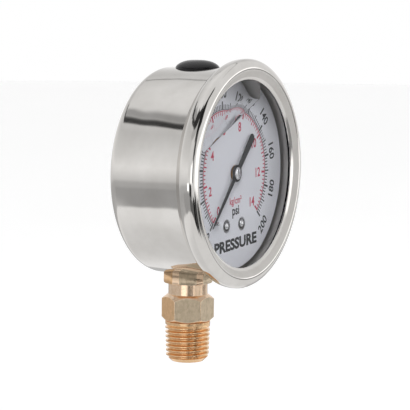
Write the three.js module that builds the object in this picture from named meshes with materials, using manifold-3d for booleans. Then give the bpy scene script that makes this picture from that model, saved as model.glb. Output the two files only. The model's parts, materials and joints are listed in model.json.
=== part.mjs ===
// A 63 mm liquid-filled Bourdon-tube pressure gauge with a bottom 1/4" NPT connection.
// Millimetres, +Z up. The origin is the centre of the stem's end face, the stem's axis is Z,
// the dial faces -Y, and the case is turned about a Y line at height `dialHeight`.
import * as THREE from "three";
import { mergeVertices } from "three/addons/utils/BufferGeometryUtils.js";
import Module from "manifold-3d";

const wasm = await Module();
wasm.setup();

// ---- Driving dimensions -------------------------------------------------------------------

const dialHeight = 58.8; // dial centre above the stem's end face
const gap = 0.3; // clearance left between pieces that touch

// Case and bezel, as radius about the case axis and Y along it.
const caseR = 31.55;
const caseWall = 0.8;
const caseBackY = 9.5;
const caseBackRound = 3.2;
const caseFlareY = -15.0;
const flangeR = 32.3;
const flangeBackY = -15.6;
const flangeFrontY = -16.4;
const bezelR = 34.5;
const bezelWidestY = -19.57;
const bezelHemY = -14.65;
const creaseR = 31.3;
const creaseY = -21.85;
const openingR = 28.3;
const openingY = -20.2;

// Window.
const windowR = 32.6;
const windowFrontY = -19.6;
const windowThick = 2.0;
const gasketInnerR = 29.9;
const gasketThick = 0.6;

// Dial, pointer and the screws on the dial.
const dialR = 29.2;
const dialY = -10.9;
const dialThick = 0.5;
const dialHoleR = 2.5;
const dialScrewX = 4.6;
const dialScrewZ = -15.7;
const dialScrewHeadR = 2.1;
const pointerZeroDeg = 228;
const pointerFrontY = -12.9;
const pointerThick = 0.5;
const pointerTipR = 21;
const pointerTailR = 15;
const pointerCapR = 1.95;
const pointerCapY = -14.2;
const stopPinR = 0.6;
const stopPinFrontY = -13.2;
const stopPinAt = { radius: 18, lead: 4.6 };

// Movement plates, as Y of the front and back faces.
const frontPlate = { front: -10.1, back: -9.1 };
const backPlate = { front: -4.1, back: -3.1 };
const pillarR = 1.3;
const pillarEndR = 0.8;
const runningGap = 0.08;
const pivotR = 0.5;
const pinionHoleR = 1.6;
const plateScrewR = 1.0;
const pillarPlaces = {
  pillar_left: [-5.5, -5.5],
  pillar_right: [14.0, -2.2],
  pillar_lower: [1.0, -12.5],
};
const movementScrewX = 3;
const movementScrewZ = -24.2;
const movementScrewHead = { radius: 1.9, front: -5.6, back: -4.4 };
const movementScrewShank = { radius: 0.9, back: 2 };

// Gear train: a 12-tooth pinion on the dial axis and a sector cut at 96 teeth to the circle.
const pinionPitchR = 1.5;
const pinionTeeth = 12;
const sectorPitchR = 12;
const sectorTeeth = 96;
const sectorTeethCut = 12;
const sectorTooth = { rootR: 11.62, tipR: 12.2, rootHalfDeg: 0.85, tipHalfDeg: 0.45 };
const sectorRimInnerR = 9.9;
const pinionTooth = { rootR: 1.12, tipR: 1.72, rootHalfDeg: 6.5, tipHalfDeg: 3 };
const sectorBearingDeg = -35; // direction of the sector's arbor from the pinion
const sectorFrontY = -7.6;
const sectorThick = 0.8;
const tailR = 4.8;
const tailDeg = -82;
const linkLength = 9.5;
const linkDeg = 20;
const linkFrontY = -6.5;
const linkThick = 0.7;
const linkPinR = 0.5;
const openPivotHoleR = 0.95;
const hairspring = { front: -5.9, back: -5.2, innerR: 1.9, outerR: 5.2, turns: 4, thick: 0.18 };

// Bourdon tube.
const tubeR = 22.8;
const tubeWidth = 7;
const tubeThick = 3;
const tubeWall = 0.4;
const tubeStartDeg = 256;
const tubeEndDeg = -15;
const tubeMidY = 1.6;
const tipBlockAcross = 4.2;
const tipLugR = 1.9;

// Socket, as height above the stem's end.
const portR = 2.5;
const channelR = 1.2;
const endFaceR = 5.0;
const threadStartR = 6.63;
const threadPitch = 25.4 / 18;
const threadDepth = 1.0;
const threadStartZ = 1.6;
const threadTurns = 7;
const taper = 1 / 32; // growth of the radius along the taper thread
const hexFlats = 14;
const hexBottomZ = 12.4;
const hexTopZ = 20.8;
const hexChamfer = 1.1;
const hexEndR = 6.85; // radius of the hexagon's round end faces
const neckR = 6.05;
const collarBottomZ = 24.3;
const collarTopZ = 26.95;
const collarR = 7.5;
const bossR = 5.9;
const block = { halfX: 6, front: -2.8, back: 6, bottom: 30.2, top: 40 };
const stemHoleR = 7.3;

// Filling plug.
const plugY = -2.7;
const plugHeadR = 6.7;
const plugTopZ = 92.55;
const plugShankR = 4.1;
const fillHoleR = 4.4;

// ---- Materials ----------------------------------------------------------------------------

function finish(color, roughness, metalness) {
  return new THREE.MeshStandardMaterial({ color, roughness, metalness });
}

const stainless = finish(0xcfcbc6, 0.15, 1);
const steel = finish(0xb9babd, 0.25, 1);
const brass = finish(0xb98f5e, 0.28, 1);
const bronze = finish(0xb3774a, 0.35, 1);
const blackRubber = finish(0x17171a, 0.6, 0);
const dialWhite = finish(0xdcdce0, 0.5, 0);
const pointerBlack = finish(0x222226, 0.45, 0);
const clearWindow = new THREE.MeshStandardMaterial({
  color: 0xeef2f4,
  roughness: 0.03,
  metalness: 0,
  transparent: true,
  opacity: 0.3,
});

// ---- Shape helpers ------------------------------------------------------------------------

const radians = THREE.MathUtils.degToRad;
const degreesOf = THREE.MathUtils.radToDeg;

// A point at a distance and direction from another, in the plane of the dial.
function polar(radius, degrees, from = [0, 0]) {
  const a = radians(degrees);
  return [from[0] + radius * Math.cos(a), from[1] + radius * Math.sin(a)];
}

// Points of an arc, with both ends.
function arc(centre, radiusX, radiusY, startDeg, endDeg, steps) {
  return Array.from({ length: steps + 1 }, (_, i) => {
    const a = radians(startDeg + ((endDeg - startDeg) * i) / steps);
    return [centre[0] + radiusX * Math.cos(a), centre[1] + radiusY * Math.sin(a)];
  });
}

// A solid of revolution about Y from [radius, y] points. The outline is closed for a ring, and
// starts and ends on the axis otherwise.
function turned(points, segments) {
  const outline = points.map(([r, y]) => new THREE.Vector2(r, y));
  if (THREE.ShapeUtils.area(outline) < 0) outline.reverse();
  if (outline.every((p) => p.x > 0)) outline.push(outline[0].clone());
  return new THREE.LatheGeometry(outline, segments);
}

// The same about Z, from [radius, z] points.
function turnedUp(points, segments) {
  return turned(points, segments).rotateX(Math.PI / 2);
}

function rod(radius, front, back, segments = 16) {
  const outline = [[0, front], [radius, front], [radius, back], [0, back]];
  return turned(outline, segments);
}

function ring(inner, outer, front, back, segments = 16) {
  const outline = [[inner, front], [outer, front], [outer, back], [inner, back]];
  return turned(outline, segments);
}

// A plate parallel to the dial: [x, z] outline, between two Y faces.
function plate(points, front, back) {
  const shape = new THREE.Shape(points.map(([x, z]) => new THREE.Vector2(x, z)));
  const made = new THREE.ExtrudeGeometry(shape, { depth: back - front, bevelEnabled: false });
  return made.rotateX(Math.PI / 2).translate(0, back, 0);
}

function moved(geometry, [x, z]) {
  return geometry.translate(x, 0, z);
}

// A straight bar about the Z axis, between two heights.
function post(radius, bottom, top, segments = 32) {
  return turnedUp([[0, bottom], [radius, bottom], [radius, top], [0, top]], segments);
}

// A drill through a plate with these Y faces, at [x, z].
function drill(radius, front, back, at, segments = 12) {
  return moved(rod(radius, front - 1, back + 1, segments), at);
}

// ---- Booleans -----------------------------------------------------------------------------

function toSolid(geometry) {
  const bare = geometry.index ? geometry.toNonIndexed() : geometry.clone();
  bare.deleteAttribute("normal");
  bare.deleteAttribute("uv");
  const merged = mergeVertices(bare, 1e-4);
  return new wasm.Manifold(
    new wasm.Mesh({
      numProp: 3,
      vertProperties: merged.attributes.position.array,
      triVerts: new Uint32Array(merged.index.array),
    }),
  );
}

function toGeometry(solid) {
  const mesh = solid.getMesh();
  const made = new THREE.BufferGeometry();
  made.setAttribute("position", new THREE.BufferAttribute(mesh.vertProperties, 3));
  made.setIndex(new THREE.BufferAttribute(mesh.triVerts, 1));
  made.computeVertexNormals();
  return made;
}

function cut(geometry, ...tools) {
  return toGeometry(tools.reduce((left, tool) => left.subtract(toSolid(tool)), toSolid(geometry)));
}

function join(...geometries) {
  const [first, ...rest] = geometries.map(toSolid);
  return toGeometry(rest.reduce((left, right) => left.add(right), first));
}

function common(first, second) {
  return toGeometry(toSolid(first).intersect(toSolid(second)));
}

// ---- The two groups: the turned case, and the movement and dial on the same axis -----------

const gauge = new THREE.Group();
const dialGroup = new THREE.Group();
dialGroup.position.set(0, 0, dialHeight);
gauge.add(dialGroup);

function put(group, name, geometry, material) {
  const mesh = new THREE.Mesh(geometry, material);
  mesh.name = name;
  group.add(mesh);
}

// ---- Case ---------------------------------------------------------------------------------

function caseShell() {
  const outerStraightEnd = caseBackY - caseBackRound;
  const innerR = caseR - caseWall;
  const cornerR = caseR - caseBackRound;
  const profile = [
    [0, caseBackY],
    ...arc([cornerR, outerStraightEnd], caseBackRound, caseBackRound, 90, 0, 5),
    [caseR, caseFlareY],
    [flangeR, flangeBackY],
    [flangeR, flangeFrontY],
    [innerR, flangeFrontY],
    ...arc([cornerR, outerStraightEnd], caseBackRound - caseWall, caseBackRound - caseWall, 0, 90, 4),
    [0, caseBackY - caseWall],
  ];
  const fillHole = post(fillHoleR, 20, 40, 24);
  const stemHole = post(stemHoleR, -40, -20, 24);
  return cut(turned(profile, 64), fillHole.translate(0, plugY, 0), stemHole);
}

function bezelRing() {
  const crown = arc([creaseR, bezelWidestY], bezelR - creaseR, bezelWidestY - creaseY, -90, 0, 6);
  const hemR = caseR + gap;
  const profile = [
    [openingR, openingY],
    ...crown,
    [34.3, -17.3],
    [33.1, -15.9],
    [hemR, bezelHemY],
    [hemR, bezelHemY - 0.35],
    [32.65, -15.4],
    [33.1, -16.4],
    [33.1, windowFrontY - gap],
    [openingR, windowFrontY - gap],
  ];
  return turned(profile, 64);
}

function fillPlug() {
  const headBottomZ = dialHeight + caseR + gap;
  const dome = arc([0, headBottomZ + 0.5], plugHeadR, plugTopZ - headBottomZ - 0.5, 0, 90, 6);
  const shankBottomZ = headBottomZ - 4.2;
  const profile = [
    [0, shankBottomZ],
    [plugShankR - 0.8, shankBottomZ],
    [plugShankR, shankBottomZ + 1.2],
    [plugShankR, headBottomZ],
    [plugHeadR, headBottomZ],
    ...dome,
  ];
  profile.at(-1)[0] = 0;
  return turnedUp(profile, 32).translate(0, plugY, 0);
}

function windowGasket() {
  const front = windowFrontY + windowThick + gap;
  return ring(gasketInnerR, windowR - gap, front, front + gasketThick, 64);
}

put(dialGroup, "case_shell", caseShell(), stainless);
put(dialGroup, "bezel_ring", bezelRing(), stainless);
put(gauge, "fill_plug", fillPlug(), blackRubber);
put(
  dialGroup,
  "window_lens",
  rod(windowR, windowFrontY, windowFrontY + windowThick, 64),
  clearWindow,
);
put(dialGroup, "window_gasket", windowGasket(), blackRubber);

// ---- Socket -------------------------------------------------------------------------------

function hexPrism(bottomZ, topZ) {
  const corners = arc([0, 0], hexFlats / Math.sqrt(3), hexFlats / Math.sqrt(3), 0, 360, 6);
  const shape = new THREE.Shape(corners.slice(0, 6).map(([x, y]) => new THREE.Vector2(x, y)));
  const made = new THREE.ExtrudeGeometry(shape, { depth: topZ - bottomZ, bevelEnabled: false });
  return made.translate(0, 0, bottomZ);
}

// Taper thread drawn as one ridge per pitch, from the end face up to the wrench hexagon.
function threadedSpigot() {
  const ridges = [];
  for (let turn = 0; turn < threadTurns; turn++) {
    const z = threadStartZ + turn * threadPitch;
    const crest = threadStartR + (z - threadStartZ) * taper;
    ridges.push([crest, z], [crest, z + 0.15 * threadPitch], [crest - threadDepth, z + threadPitch / 2]);
  }
  const topR = threadStartR - 0.3;
  const topZ = hexBottomZ + 0.5;
  const profile = [[0, 0], [endFaceR, 0], ...ridges, [topR, hexBottomZ - 0.6], [topR, topZ], [0, topZ]];
  return turnedUp(profile, 32);
}

function wrenchHexagon() {
  const cornerR = hexFlats / Math.sqrt(3);
  const envelope = [
    [0, hexBottomZ],
    [hexEndR, hexBottomZ],
    [cornerR, hexBottomZ + hexChamfer],
    [cornerR, hexTopZ - hexChamfer],
    [hexEndR, hexTopZ],
    [0, hexTopZ],
  ];
  return common(hexPrism(hexBottomZ, hexTopZ), turnedUp(envelope, 48));
}

function collar() {
  const bevel = 0.4;
  const envelope = [
    [0, collarBottomZ],
    [collarR - bevel, collarBottomZ],
    [collarR, collarBottomZ + bevel],
    [collarR, collarTopZ],
    [0, collarTopZ],
  ];
  return common(hexPrism(collarBottomZ, collarTopZ), turnedUp(envelope, 48));
}

// The slot in the socket block that the tube's fixed end is brazed into.
function tubeSlot() {
  const slot = new THREE.BoxGeometry(4.6, tubeWidth + 2 * gap, tubeThick + 2 * gap);
  slot.rotateY(-radians(tubeStartDeg + 90));
  const [x, z] = polar(tubeR, tubeStartDeg - 3);
  return slot.translate(x, tubeMidY, dialHeight + z);
}

function socketStem() {
  const neck = post(neckR, hexTopZ - 1, collarTopZ - 1);
  const boss = post(bossR, collarTopZ - 1, block.bottom + 1);
  const depth = block.back - block.front;
  const body = new THREE.BoxGeometry(2 * block.halfX, depth, block.top - block.bottom);
  body.translate(0, (block.front + block.back) / 2, (block.top + block.bottom) / 2);
  const whole = join(threadedSpigot(), wrenchHexagon(), neck, collar(), boss, body);
  const tubeHeight = dialHeight + polar(tubeR, tubeStartDeg)[1];
  const port = post(portR, -1, hexTopZ, 16);
  const channel = post(channelR, 10, tubeHeight + 1, 10);
  const crossHole = new THREE.CylinderGeometry(1, 1, 6, 10).rotateZ(Math.PI / 2);
  crossHole.translate(-3, 0, tubeHeight);
  const screwHoles = [-movementScrewX, movementScrewX].map((x) =>
    drill(plateScrewR, block.front, 1.5, [x, dialHeight + movementScrewZ]),
  );
  return cut(whole, port, channel, crossHole, tubeSlot(), ...screwHoles);
}

// A screwed-in throttle that damps pulses, with a fine bore and a driver slot.
function restrictorScrew() {
  const radius = portR - gap;
  const body = turnedUp([[0.35, 6], [radius, 6], [radius, 10], [0.35, 10]], 16);
  const slot = new THREE.BoxGeometry(2 * radius + 1, 0.7, 0.8).translate(0, 0, 6.2);
  return cut(body, slot);
}

function caseSeal() {
  const section = arc([6.6, 28.1], 0.5, 0.6, 0, 330, 11);
  return turnedUp(section, 32);
}

put(gauge, "socket_stem", socketStem(), brass);
put(gauge, "restrictor_screw", restrictorScrew(), brass);
put(gauge, "case_seal", caseSeal(), blackRubber);

// ---- Bourdon tube, its tip and the link ----------------------------------------------------

const sectorAt = polar(pinionPitchR + sectorPitchR, sectorBearingDeg);
const tailPinAt = polar(tailR, tailDeg, sectorAt);
const tipPinAt = polar(linkLength, linkDeg, tailPinAt);

// A circle's arc in the plane of the dial, for sweeping the tube's section.
class TubeArc extends THREE.Curve {
  constructor(startDeg, endDeg) {
    super();
    this.startDeg = startDeg;
    this.endDeg = endDeg;
  }
  getPoint(t, target = new THREE.Vector3()) {
    const [x, z] = polar(tubeR, this.startDeg + (this.endDeg - this.startDeg) * t);
    return target.set(x, tubeMidY, z);
  }
}

function flattenedSection(width, thick) {
  const end = width / 2 - thick / 2;
  const right = arc([end, 0], thick / 2, thick / 2, -90, 90, 4);
  const left = arc([-end, 0], thick / 2, thick / 2, 90, 270, 4);
  return new THREE.Shape([...right, ...left].map(([x, y]) => new THREE.Vector2(x, y)));
}

function bourdonTube() {
  const outer = new THREE.ExtrudeGeometry(flattenedSection(tubeWidth, tubeThick), {
    steps: 36,
    extrudePath: new TubeArc(tubeStartDeg, tubeEndDeg),
  });
  const bore = new THREE.ExtrudeGeometry(
    flattenedSection(tubeWidth - 2 * tubeWall, tubeThick - 2 * tubeWall),
    { steps: 36, extrudePath: new TubeArc(tubeStartDeg + 2, tubeEndDeg + 3) },
  );
  return cut(outer, bore);
}

// The brazed end piece: a block across the tube's end with a lug that reaches forward to the link.
function tubeTip() {
  const along = 5.7;
  const middleDeg = tubeEndDeg - 1 - degreesOf(4.5 / tubeR);
  const [x, z] = polar(tubeR, middleDeg);
  const body = new THREE.BoxGeometry(tipBlockAcross, tubeWidth, along);
  body.rotateY(-radians(tubeEndDeg - 6)).translate(x, tubeMidY, z + 1.4);
  const lugBack = tubeMidY - tubeWidth / 2 + 1;
  const lug = moved(rod(tipLugR, linkFrontY + linkThick + gap, lugBack, 16), tipPinAt);
  const pinHole = moved(rod(linkPinR + runningGap, linkFrontY, lugBack - 1.5, 12), tipPinAt);
  return cut(join(body, lug), pinHole);
}

// A flat link with an eye at each end; the sector's eye is wide, because the linkage is open there.
function linkRod() {
  const back = linkFrontY + linkThick;
  const bar = new THREE.BoxGeometry(linkLength - 2, linkThick, 1.2);
  bar.rotateY(-radians(linkDeg));
  const middle = [(tailPinAt[0] + tipPinAt[0]) / 2, (tailPinAt[1] + tipPinAt[1]) / 2];
  bar.translate(middle[0], linkFrontY + linkThick / 2, middle[1]);
  const tailEye = moved(rod(1.7, linkFrontY, back, 20), tailPinAt);
  const tipEye = moved(rod(1.2, linkFrontY, back, 16), tipPinAt);
  const tailHole = drill(openPivotHoleR, linkFrontY, back, tailPinAt, 16);
  const tipHole = drill(linkPinR + runningGap, linkFrontY, back, tipPinAt);
  return cut(join(bar, tailEye, tipEye), tailHole, tipHole);
}

function linkPin(at, front, back) {
  return moved(rod(linkPinR, front, back, 12), at);
}

put(dialGroup, "bourdon_tube", bourdonTube(), bronze);
put(dialGroup, "tube_tip", tubeTip(), brass);
put(dialGroup, "link_rod", linkRod(), steel);
put(dialGroup, "link_pin_tip", linkPin(tipPinAt, linkFrontY - 0.5, linkFrontY + 2.2), steel);
put(
  dialGroup,
  "link_pin_sector",
  linkPin(tailPinAt, sectorFrontY - 0.3, linkFrontY + linkThick + 0.3),
  steel,
);

// ---- Movement -----------------------------------------------------------------------------

// The outline both plates share, from the upper left corner clockwise.
const upperOutline = [[-5.2, 5], [3.5, 5], [14.5, 1], [16.4, -2.2], [15, -10.5]];

function plateHoles(front, back, centreHoleR) {
  const holes = Object.values(pillarPlaces).map((at) => drill(pillarEndR + runningGap, front, back, at));
  holes.push(drill(pivotR + runningGap, front, back, sectorAt));
  holes.push(drill(centreHoleR, front, back, [0, 0], 16));
  return holes;
}

function movementFrontPlate() {
  const { front, back } = frontPlate;
  const outline = [...upperOutline, [8, -14], [7.4, -18.6], [-7.4, -18.6], [-8, -8]];
  const screwHoles = [-dialScrewX, dialScrewX].map((x) =>
    drill(plateScrewR + runningGap, front, back, [x, dialScrewZ]),
  );
  return cut(plate(outline, front, back), ...plateHoles(front, back, pinionHoleR), ...screwHoles);
}

function movementBackPlate() {
  const { front, back } = backPlate;
  const outline = [...upperOutline, [5.2, -18.5], [5.2, -27.2], [-5.2, -27.2], [-8, -8]];
  const screwHoles = [-movementScrewX, movementScrewX].map((x) =>
    drill(movementScrewShank.radius + 0.4, front, back, [x, movementScrewZ]),
  );
  return cut(
    plate(outline, front, back),
    ...plateHoles(front, back, pivotR + runningGap),
    ...screwHoles,
  );
}

// A pillar between the plates, with a reduced end riveted through each of them.
function pillar(at) {
  const outline = [
    [0, frontPlate.front],
    [pillarEndR, frontPlate.front],
    [pillarEndR, frontPlate.back + gap],
    [pillarR, frontPlate.back + gap],
    [pillarR, backPlate.front - gap],
    [pillarEndR, backPlate.front - gap],
    [pillarEndR, backPlate.back],
    [0, backPlate.back],
  ];
  return moved(turned(outline, 12), at);
}

function movementPlateScrew(x) {
  const { radius, front, back } = movementScrewHead;
  const shank = movementScrewShank;
  const outline = [
    [0, front],
    [radius, front],
    [radius, back],
    [shank.radius, back],
    [shank.radius, shank.back],
    [0, shank.back],
  ];
  const slot = new THREE.BoxGeometry(2 * radius + 1, 0.6, 0.5).translate(0, front + 0.2, 0);
  return moved(cut(turned(outline, 16), slot), [x, movementScrewZ]);
}

function domedDialScrew(x) {
  const headBack = dialY - gap;
  const headHeight = 0.95;
  const dome = arc([0, headBack], dialScrewHeadR, headHeight, -90, 0, 4);
  dome[0][0] = 0;
  const tipY = frontPlate.back + 0.5;
  const outline = [...dome, [plateScrewR, headBack], [plateScrewR, tipY], [0, tipY]];
  return moved(turned(outline, 20), [x, dialScrewZ]);
}

// Straight-flanked teeth on a circle, as points from one direction to another.
function teeth(centre, tooth, firstDeg, pitchDeg, count) {
  const { rootR, tipR, rootHalfDeg, tipHalfDeg } = tooth;
  const points = [];
  for (let i = 0; i < count; i++) {
    const mid = firstDeg + i * pitchDeg;
    points.push(polar(rootR, mid - rootHalfDeg, centre));
    points.push(polar(tipR, mid - tipHalfDeg, centre));
    points.push(polar(tipR, mid + tipHalfDeg, centre));
    points.push(polar(rootR, mid + rootHalfDeg, centre));
  }
  return points;
}

function sectorGear() {
  const pitch = 360 / sectorTeeth;
  const meshDeg = sectorBearingDeg + 180;
  const back = sectorFrontY + sectorThick;
  const firstDeg = meshDeg - 10 * pitch;
  const lastDeg = firstDeg + (sectorTeethCut - 1) * pitch;
  const toothed = teeth(sectorAt, sectorTooth, firstDeg, pitch, sectorTeethCut);
  const rimInner = arc(sectorAt, sectorRimInnerR, sectorRimInnerR, lastDeg + 2, firstDeg - 2, 8);
  const rim = plate([...toothed, ...rimInner], sectorFrontY, back);
  const arms = [firstDeg, lastDeg].map((degrees) => {
    const arm = new THREE.BoxGeometry(10, sectorThick, 1.5).rotateY(-radians(degrees));
    const [x, z] = polar(5.8, degrees, sectorAt);
    return arm.translate(x, (sectorFrontY + back) / 2, z);
  });
  const tail = new THREE.BoxGeometry(tailR, sectorThick, 2).rotateY(-radians(tailDeg));
  const tailMiddle = polar(tailR / 2, tailDeg, sectorAt);
  tail.translate(tailMiddle[0], (sectorFrontY + back) / 2, tailMiddle[1]);
  const hub = moved(rod(2.3, sectorFrontY, back, 20), sectorAt);
  const tailEnd = moved(rod(1.5, sectorFrontY, back, 16), tailPinAt);
  const arborHole = drill(1.1, sectorFrontY, back, sectorAt, 16);
  const pinHole = drill(linkPinR + runningGap, sectorFrontY, back, tailPinAt);
  return cut(join(rim, ...arms, tail, hub, tailEnd), arborHole, pinHole);
}

function sectorArbor() {
  const outline = [
    [0, frontPlate.front],
    [pivotR, frontPlate.front],
    [pivotR, frontPlate.back + gap],
    [0.8, frontPlate.back + gap],
    [0.8, backPlate.front - gap],
    [pivotR, backPlate.front - gap],
    [pivotR, backPlate.back],
    [0, backPlate.back],
  ];
  return moved(turned(outline, 12), sectorAt);
}

// The pinion is cut on its own shaft, which carries the pointer in front of the dial.
function pinionShaft() {
  const shaft = turned(
    [
      [0, pointerFrontY - 0.2],
      [pivotR, pointerFrontY - 0.2],
      [0.75, pointerFrontY + 1.5],
      [1.0, frontPlate.front - 0.6],
      [1.0, backPlate.front - gap],
      [pivotR, backPlate.front - gap],
      [pivotR, backPlate.back],
      [0, backPlate.back],
    ],
    16,
  );
  const pitch = 360 / pinionTeeth;
  const toothed = teeth([0, 0], pinionTooth, sectorBearingDeg + pitch / 2, pitch, pinionTeeth);
  return join(shaft, plate(toothed, sectorFrontY - 0.5, sectorFrontY + sectorThick + 0.5));
}

function frontBush() {
  const inner = 1.0 + runningGap;
  const outline = [
    [inner, dialY - 0.7],
    [2.1, dialY - 0.7],
    [2.1, frontPlate.front - gap],
    [1.5, frontPlate.front - gap],
    [1.5, frontPlate.back],
    [inner, frontPlate.back],
  ];
  return turned(outline, 20);
}

function hairspringCoil() {
  const { front, back, innerR, outerR, turns, thick } = hairspring;
  const perTurn = 16;
  const steps = perTurn * turns;
  const growth = (outerR - innerR) / steps;
  const inside = [];
  const outside = [];
  for (let i = 0; i <= steps; i++) {
    const degrees = (360 * i) / perTurn;
    inside.push(polar(innerR + growth * i, degrees));
    outside.push(polar(innerR + growth * i + thick, degrees));
  }
  return plate([...outside, ...inside.reverse()], front, back);
}

function hairspringCollet() {
  return ring(1.0 + runningGap, hairspring.innerR - gap, hairspring.front, hairspring.back, 16);
}

function hairspringStud() {
  return moved(rod(0.5, hairspring.front, backPlate.front - 0.1, 10), polar(6.3, 0));
}

put(dialGroup, "movement_front_plate", movementFrontPlate(), brass);
put(dialGroup, "movement_back_plate", movementBackPlate(), brass);
for (const [name, at] of Object.entries(pillarPlaces)) put(dialGroup, name, pillar(at), brass);
put(dialGroup, "movement_screw_left", movementPlateScrew(-movementScrewX), steel);
put(dialGroup, "movement_screw_right", movementPlateScrew(movementScrewX), steel);
put(dialGroup, "sector_gear", sectorGear(), brass);
put(dialGroup, "sector_arbor", sectorArbor(), steel);
put(dialGroup, "pinion_shaft", pinionShaft(), steel);
put(dialGroup, "front_bush", frontBush(), brass);
put(dialGroup, "hairspring", hairspringCoil(), bronze);
put(dialGroup, "hairspring_collet", hairspringCollet(), brass);
put(dialGroup, "hairspring_stud", hairspringStud(), brass);

// ---- Dial and pointer ---------------------------------------------------------------------

function dialPlate() {
  const back = dialY + dialThick;
  const holes = [drill(dialHoleR, dialY, back, [0, 0], 24)];
  for (const x of [-dialScrewX, dialScrewX]) {
    holes.push(drill(plateScrewR + gap, dialY, back, [x, dialScrewZ], 16));
  }
  const pinAt = polar(stopPinAt.radius, pointerZeroDeg + stopPinAt.lead);
  holes.push(drill(stopPinR + runningGap, dialY, back, pinAt));
  return cut(rod(dialR, dialY, back, 64), ...holes);
}

// A slim blade with a balance tail, drawn pointing along +X and turned to the zero mark.
function pointerBlade() {
  const outline = [
    [pointerTipR, 0.12],
    [pointerTipR - 3, 0.5],
    [2.4, 0.95],
    ...arc([0, 0], 2.6, 2.6, 22, 156, 6),
    [-6, 1.0],
    ...arc([-pointerTailR + 1.3, 0], 1.3, 1.3, 90, 270, 6),
    [-6, -1.0],
    ...arc([0, 0], 2.6, 2.6, 204, 338, 6),
    [2.4, -0.95],
    [pointerTipR - 3, -0.5],
    [pointerTipR, -0.12],
  ];
  const blade = plate(outline, pointerFrontY, pointerFrontY + pointerThick);
  const turnedBlade = blade.rotateY(-radians(pointerZeroDeg));
  return cut(turnedBlade, rod(1.6, pointerFrontY - 1, pointerFrontY + 2, 20));
}

// The hub that is riveted through the blade, with a driver slot across its cap.
function pointerHub() {
  const boreR = 0.85;
  const capBack = pointerFrontY - 0.1;
  const outline = [
    [0, pointerCapY],
    [pointerCapR - 0.25, pointerCapY],
    [pointerCapR, pointerCapY + 0.25],
    [pointerCapR, capBack],
    [1.3, capBack],
    [1.3, pointerFrontY + pointerThick + 0.4],
    [boreR, pointerFrontY + pointerThick + 0.4],
    [boreR, capBack - 0.4],
    [0, capBack - 0.4],
  ];
  const slot = new THREE.BoxGeometry(2 * pointerCapR + 1, 0.8, 0.7);
  slot.translate(0, pointerCapY + 0.1, 0).rotateY(-radians(pointerZeroDeg + 60));
  return cut(turned(outline, 24), slot);
}

function stopPin() {
  const pinAt = polar(stopPinAt.radius, pointerZeroDeg + stopPinAt.lead);
  return moved(rod(stopPinR, stopPinFrontY, dialY + dialThick + 0.3, 12), pinAt);
}

put(dialGroup, "dial_plate", dialPlate(), dialWhite);
put(dialGroup, "dial_screw_left", domedDialScrew(-dialScrewX), steel);
put(dialGroup, "dial_screw_right", domedDialScrew(dialScrewX), steel);
put(dialGroup, "stop_pin", stopPin(), steel);
put(dialGroup, "pointer_blade", pointerBlade(), pointerBlack);
put(dialGroup, "pointer_hub", pointerHub(), brass);

export default gauge;
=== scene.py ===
"""Looks of a 63 mm liquid-filled pressure gauge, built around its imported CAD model."""

import json
import math

import bmesh
import bpy
from mathutils import Matrix, Vector


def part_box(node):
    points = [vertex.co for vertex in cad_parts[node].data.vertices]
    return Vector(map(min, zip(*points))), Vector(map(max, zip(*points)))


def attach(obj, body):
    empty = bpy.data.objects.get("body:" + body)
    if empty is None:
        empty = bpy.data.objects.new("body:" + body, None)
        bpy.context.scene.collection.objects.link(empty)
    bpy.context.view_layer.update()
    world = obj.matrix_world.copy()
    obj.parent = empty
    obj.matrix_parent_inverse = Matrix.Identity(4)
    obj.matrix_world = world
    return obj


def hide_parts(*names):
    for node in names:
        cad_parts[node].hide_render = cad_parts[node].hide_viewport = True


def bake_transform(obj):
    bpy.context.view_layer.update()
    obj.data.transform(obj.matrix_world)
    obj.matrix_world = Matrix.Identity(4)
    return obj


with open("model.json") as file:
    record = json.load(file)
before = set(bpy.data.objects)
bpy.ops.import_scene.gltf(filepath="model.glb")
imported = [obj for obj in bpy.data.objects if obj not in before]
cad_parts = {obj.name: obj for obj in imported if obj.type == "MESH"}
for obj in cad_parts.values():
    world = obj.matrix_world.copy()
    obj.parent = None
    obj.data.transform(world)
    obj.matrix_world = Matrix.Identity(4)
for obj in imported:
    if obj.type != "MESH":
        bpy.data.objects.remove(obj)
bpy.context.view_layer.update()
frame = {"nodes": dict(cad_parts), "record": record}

MM = 0.001  # sizes below are in millimetres, and meshes are in metres

# ---- Places taken from the frame, in millimetres ----


def box_mm(node):
    low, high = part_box(node)
    return Vector(low) / MM, Vector(high) / MM


case_low, case_high = box_mm("case_shell")
bezel_low, bezel_high = box_mm("bezel_ring")
lens_low, lens_high = box_mm("window_lens")
dial_low, dial_high = box_mm("dial_plate")
blade_low, blade_high = box_mm("pointer_blade")
hub_low, hub_high = box_mm("pointer_hub")
plug_low, plug_high = box_mm("fill_plug")
stem_high = box_mm("socket_stem")[1]
pin_low, pin_high = box_mm("stop_pin")
bush_low, bush_high = box_mm("front_bush")
screw_low, screw_high = box_mm("dial_screw_right")

AXIS_Z = (bezel_low.z + bezel_high.z) / 2  # height of the case axis
BEZEL_R = (bezel_high.x - bezel_low.x) / 2
CREASE_Y = bezel_low.y
CASE_BACK = case_high.y
FLANGE_R = (case_high.x - case_low.x) / 2
FLANGE_FRONT = case_low.y
LENS_R = (lens_high.x - lens_low.x) / 2
LENS_FRONT = lens_low.y
LENS_BACK = lens_high.y
DIAL_R = (dial_high.x - dial_low.x) / 2
DIAL_FRONT = dial_low.y
DIAL_BACK = dial_high.y
SCREW_X = (screw_low.x + screw_high.x) / 2
SCREW_Z = (screw_low.z + screw_high.z) / 2 - AXIS_Z
SCREW_R = (screw_high.x - screw_low.x) / 2
BUSH_R = (bush_high.x - bush_low.x) / 2
PLUG_Y = (plug_low.y + plug_high.y) / 2
PLUG_R = (plug_high.x - plug_low.x) / 2
CAP_R = (hub_high.x - hub_low.x) / 2

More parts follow.
